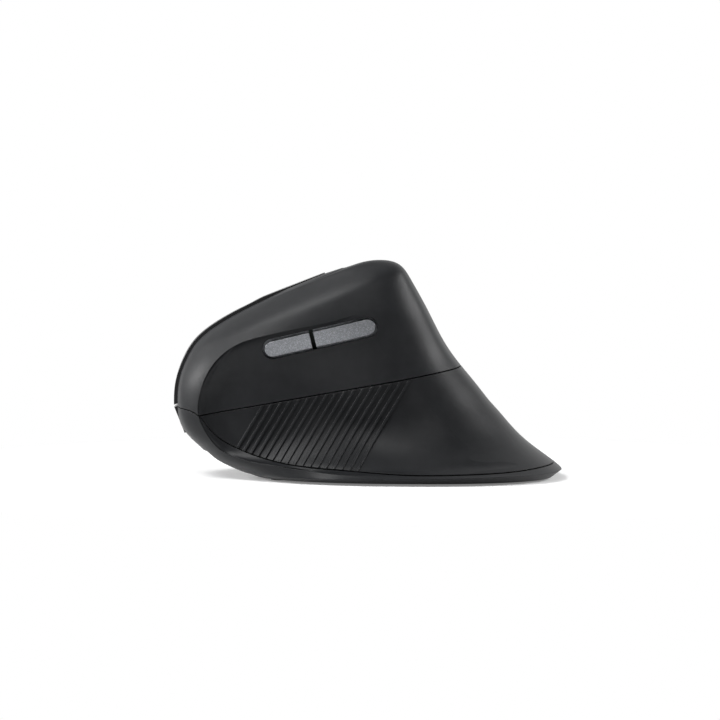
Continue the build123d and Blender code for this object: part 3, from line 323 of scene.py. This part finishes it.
clearSettings = {
    "name": "clear plastic",
    "base": "dfe6ea",
    "bend": 1.49,              # index of refraction
    "hazeGrain": 0.8,
    "hazeBand": (0.3, 0.7),
    "clearRoughness": 0.03,
    "hazyRoughness": 0.12,
}


def clearPlastic(settings):
    # clear moulding with a slight haze
    material, shader = newMaterial(settings["name"])
    haze = noise(material, settings["hazeGrain"])
    shader.inputs["Base Color"].default_value = colour(settings["base"])
    shader.inputs["Transmission Weight"].default_value = 1.0
    shader.inputs["IOR"].default_value = settings["bend"]
    feed(material, shader, "Roughness",
         remap(material, haze, settings["hazeBand"], settings["clearRoughness"],
               settings["hazyRoughness"]))
    return material


# Every part takes the finish of its slot

finishes = {slot: mouldedPlastic(values) for slot, values in plastics.items()}
finishes |= {slot: scratchedMetal(values) for slot, values in metals.items()}
finishes |= {
    "gloss_black": glossPlastic(glossSettings),
    "metallic_grey": metallicPaint(paintSettings),
    "wheel_rubber": wheelRubber(rubberSettings),
    "board_laminate": boardLaminate(boardSettings),
    "clear_plastic": clearPlastic(clearSettings),
}

for entry in frame["record"]["subparts"]:
    node = frame["nodes"][entry["node"]]
    finish = finishes[entry["material_slot"]]
    if node.material_slots:
        for materialSlot in node.material_slots:
            materialSlot.material = finish
    else:
        node.data.materials.append(finish)
print("finishes set")


# Floor, background and light

floorSettings = {
    "half": 3.0,
    "shade": "f4f4f4",
    "mottle": "f1f1f1",
    "grain": 3.0,              # millimetres between the floor's faint blotches
    "roughness": 0.9,
    "lift": 0.2,               # how far the lit floor is raised towards white where it is looked at
    "whiteBand": (0.09, 0.16), # metres from the object's middle over which plain white takes over
}


def seenRays(material):
    # 1 for rays that look, bounce off gloss or pass through glass, and 0 for rays that carry light
    rays = addNode(material, "ShaderNodeLightPath")
    first = addNode(material, "ShaderNodeMath", links={0: rays.outputs["Is Camera Ray"],
                                                       1: rays.outputs["Is Glossy Ray"]},
                    operation="MAXIMUM")
    return addNode(material, "ShaderNodeMath", links={0: first.outputs[0],
                                                      1: rays.outputs["Is Transmission Ray"]},
                   operation="MAXIMUM").outputs[0]


def makeFloor(settings):
    # a pale floor that keeps the shadow and turns to plain white away from the object
    mesh = bpy.data.meshes.new("floor")
    shape = bmesh.new()
    bmesh.ops.create_grid(shape, x_segments=1, y_segments=1, size=settings["half"])
    shape.to_mesh(mesh)
    shape.free()
    floor = bpy.data.objects.new("floor", mesh)
    bpy.context.scene.collection.objects.link(floor)
    material, shader = newMaterial("pale floor")
    speckle = noise(material, settings["grain"])
    feed(material, shader, "Base Color",
         blendColour(material, speckle, settings["shade"], settings["mottle"]))
    shader.inputs["Roughness"].default_value = settings["roughness"]
    shader.inputs["Specular IOR Level"].default_value = 0.0
    seen = seenRays(material)
    reach = addNode(material, "ShaderNodeVectorMath", links={0: objectPoint(material)},
                    operation="LENGTH").outputs["Value"]
    away = remap(material, reach, settings["whiteBand"], 0, 1)
    plain = addNode(material, "ShaderNodeMath", links={0: seen, 1: away}, operation="MULTIPLY")
    white = addNode(material, "ShaderNodeEmission", {"Color": colour("ffffff"), "Strength": 1.0})
    lift = addNode(material, "ShaderNodeEmission", {"Color": colour("ffffff")},
                   {"Strength": remap(material, seen, (0, 1), 0, settings["lift"])})
    lifted = addNode(material, "ShaderNodeAddShader",
                     links={0: shader.outputs["BSDF"], 1: lift.outputs["Emission"]})
    both = addNode(material, "ShaderNodeMixShader", links={0: plain.outputs[0], 1: lifted.outputs[0],
                                                           2: white.outputs["Emission"]})
    output = material.node_tree.nodes["Material Output"]
    material.node_tree.links.new(both.outputs[0], output.inputs["Surface"])
    mesh.materials.append(material)


makeFloor(floorSettings)

skySettings = {
    "shown": "ffffff",
    "light": "f2f4f7",
    "strength": 0.1,
    "room": 0.08,              # how bright gloss sees the room in front of the object
    "backdropBand": (-0.15, 0.25), # the Y of a direction over which the room turns to the white backdrop
}


def makeSky(settings):
    # white behind the object, a dim room in front for gloss, and a soft even light from all round
    world = bpy.data.worlds.new("sky")
    bpy.context.scene.world = world
    world.use_nodes = True
    world.node_tree.nodes.clear()
    way = addNode(world, "ShaderNodeSeparateXYZ", links={"Vector": objectPoint(world)}).outputs["Y"]
    behind = remap(world, way, settings["backdropBand"], settings["room"], 1)
    looked = addNode(world, "ShaderNodeLightPath").outputs["Is Camera Ray"]
    shown = addNode(world, "ShaderNodeMath", links={0: looked, 1: behind}, operation="MAXIMUM")
    seen = addNode(world, "ShaderNodeBackground", {"Color": colour(settings["shown"])},
                   {"Strength": shown.outputs[0]})
    lit = addNode(world, "ShaderNodeBackground",
                  {"Color": colour(settings["light"]), "Strength": settings["strength"]})
    both = addNode(world, "ShaderNodeMixShader",
                   links={0: seenRays(world), 1: lit.outputs[0], 2: seen.outputs[0]})
    addNode(world, "ShaderNodeOutputWorld", links={"Surface": both.outputs[0]})


makeSky(skySettings)

# metres and watts
lampSettings = {
    "overhead": {"place": (-0.60, -0.30, 1.00), "aim": (0.0, 0.0, 0.03), "size": 0.5, "power": 8.8},
    "front": {"place": (0.0, -0.90, 0.80), "aim": (0.0, 0.0, 0.03), "size": 0.5, "power": 2.0},
    "noseSide": {"place": (-1.00, 0.0, 0.40), "aim": (0.0, 0.0, 0.03), "size": 0.4, "power": 9.6},
    "wristSide": {"place": (1.00, 0.0, 0.50), "aim": (0.0, 0.0, 0.03), "size": 0.4, "power": 6.0},
    "wristNear": {"place": (0.50, -0.10, 0.35), "aim": (0.03, -0.01, 0.04), "size": 0.2, "power": 0.75},
}


def makeLamps(settings):
    # soft square lamps, each aimed at the object
    for name, values in settings.items():
        data = bpy.data.lights.new(name, "AREA")
        data.size = values["size"]
        data.energy = values["power"]
        lamp = bpy.data.objects.new(name, data)
        bpy.context.scene.collection.objects.link(lamp)
        lamp.location = values["place"]
        way = Vector(values["aim"]) - Vector(values["place"])
        lamp.rotation_euler = way.to_track_quat("-Z", "Y").to_euler()


makeLamps(lampSettings)
print("floor and light set")


# Camera

cameraSettings = {
    "pixelsPerMillimetre": 3.225,
    "imagePixels": 720,
    "middlePixel": (360, 360),
    "originPixel": (367.5, 484.0),  # where the frame's origin falls, carried forwards to the near edge
    "nearEdge": -0.038,             # metres
    "elevation": 3.7,               # degrees
    "distance": 1.6,
    "nearestShown": 0.05,
    "sensor": 36.0,                 # millimetres
}


def makeCamera(settings):
    # a long lens, nearly level with the object on its thumb side
    data = bpy.data.cameras.new("camera")
    camera = bpy.data.objects.new("camera", data)
    bpy.context.scene.collection.objects.link(camera)
    rise = math.radians(settings["elevation"])
    scale = settings["pixelsPerMillimetre"]
    across = (settings["middlePixel"][0] - settings["originPixel"][0]) / scale * mm
    up = (settings["originPixel"][1] - settings["middlePixel"][1]) / scale * mm
    nearEdge = settings["nearEdge"]
    aim = Vector((across, nearEdge, 0)) + up * Vector((0, math.sin(rise), math.cos(rise)))
    back = Vector((0, -math.cos(rise), math.sin(rise)))
    camera.location = aim + back * settings["distance"]
    camera.rotation_euler = (math.pi / 2 - rise, 0, 0)
    shownWidth = settings["imagePixels"] / scale * mm
    data.sensor_width = settings["sensor"]
    data.lens = settings["sensor"] * (settings["distance"] - nearEdge) / shownWidth
    data.clip_start = settings["nearestShown"]
    bpy.context.scene.camera = camera
    bpy.context.scene.view_settings.view_transform = "Standard"


makeCamera(cameraSettings)
print("camera set")
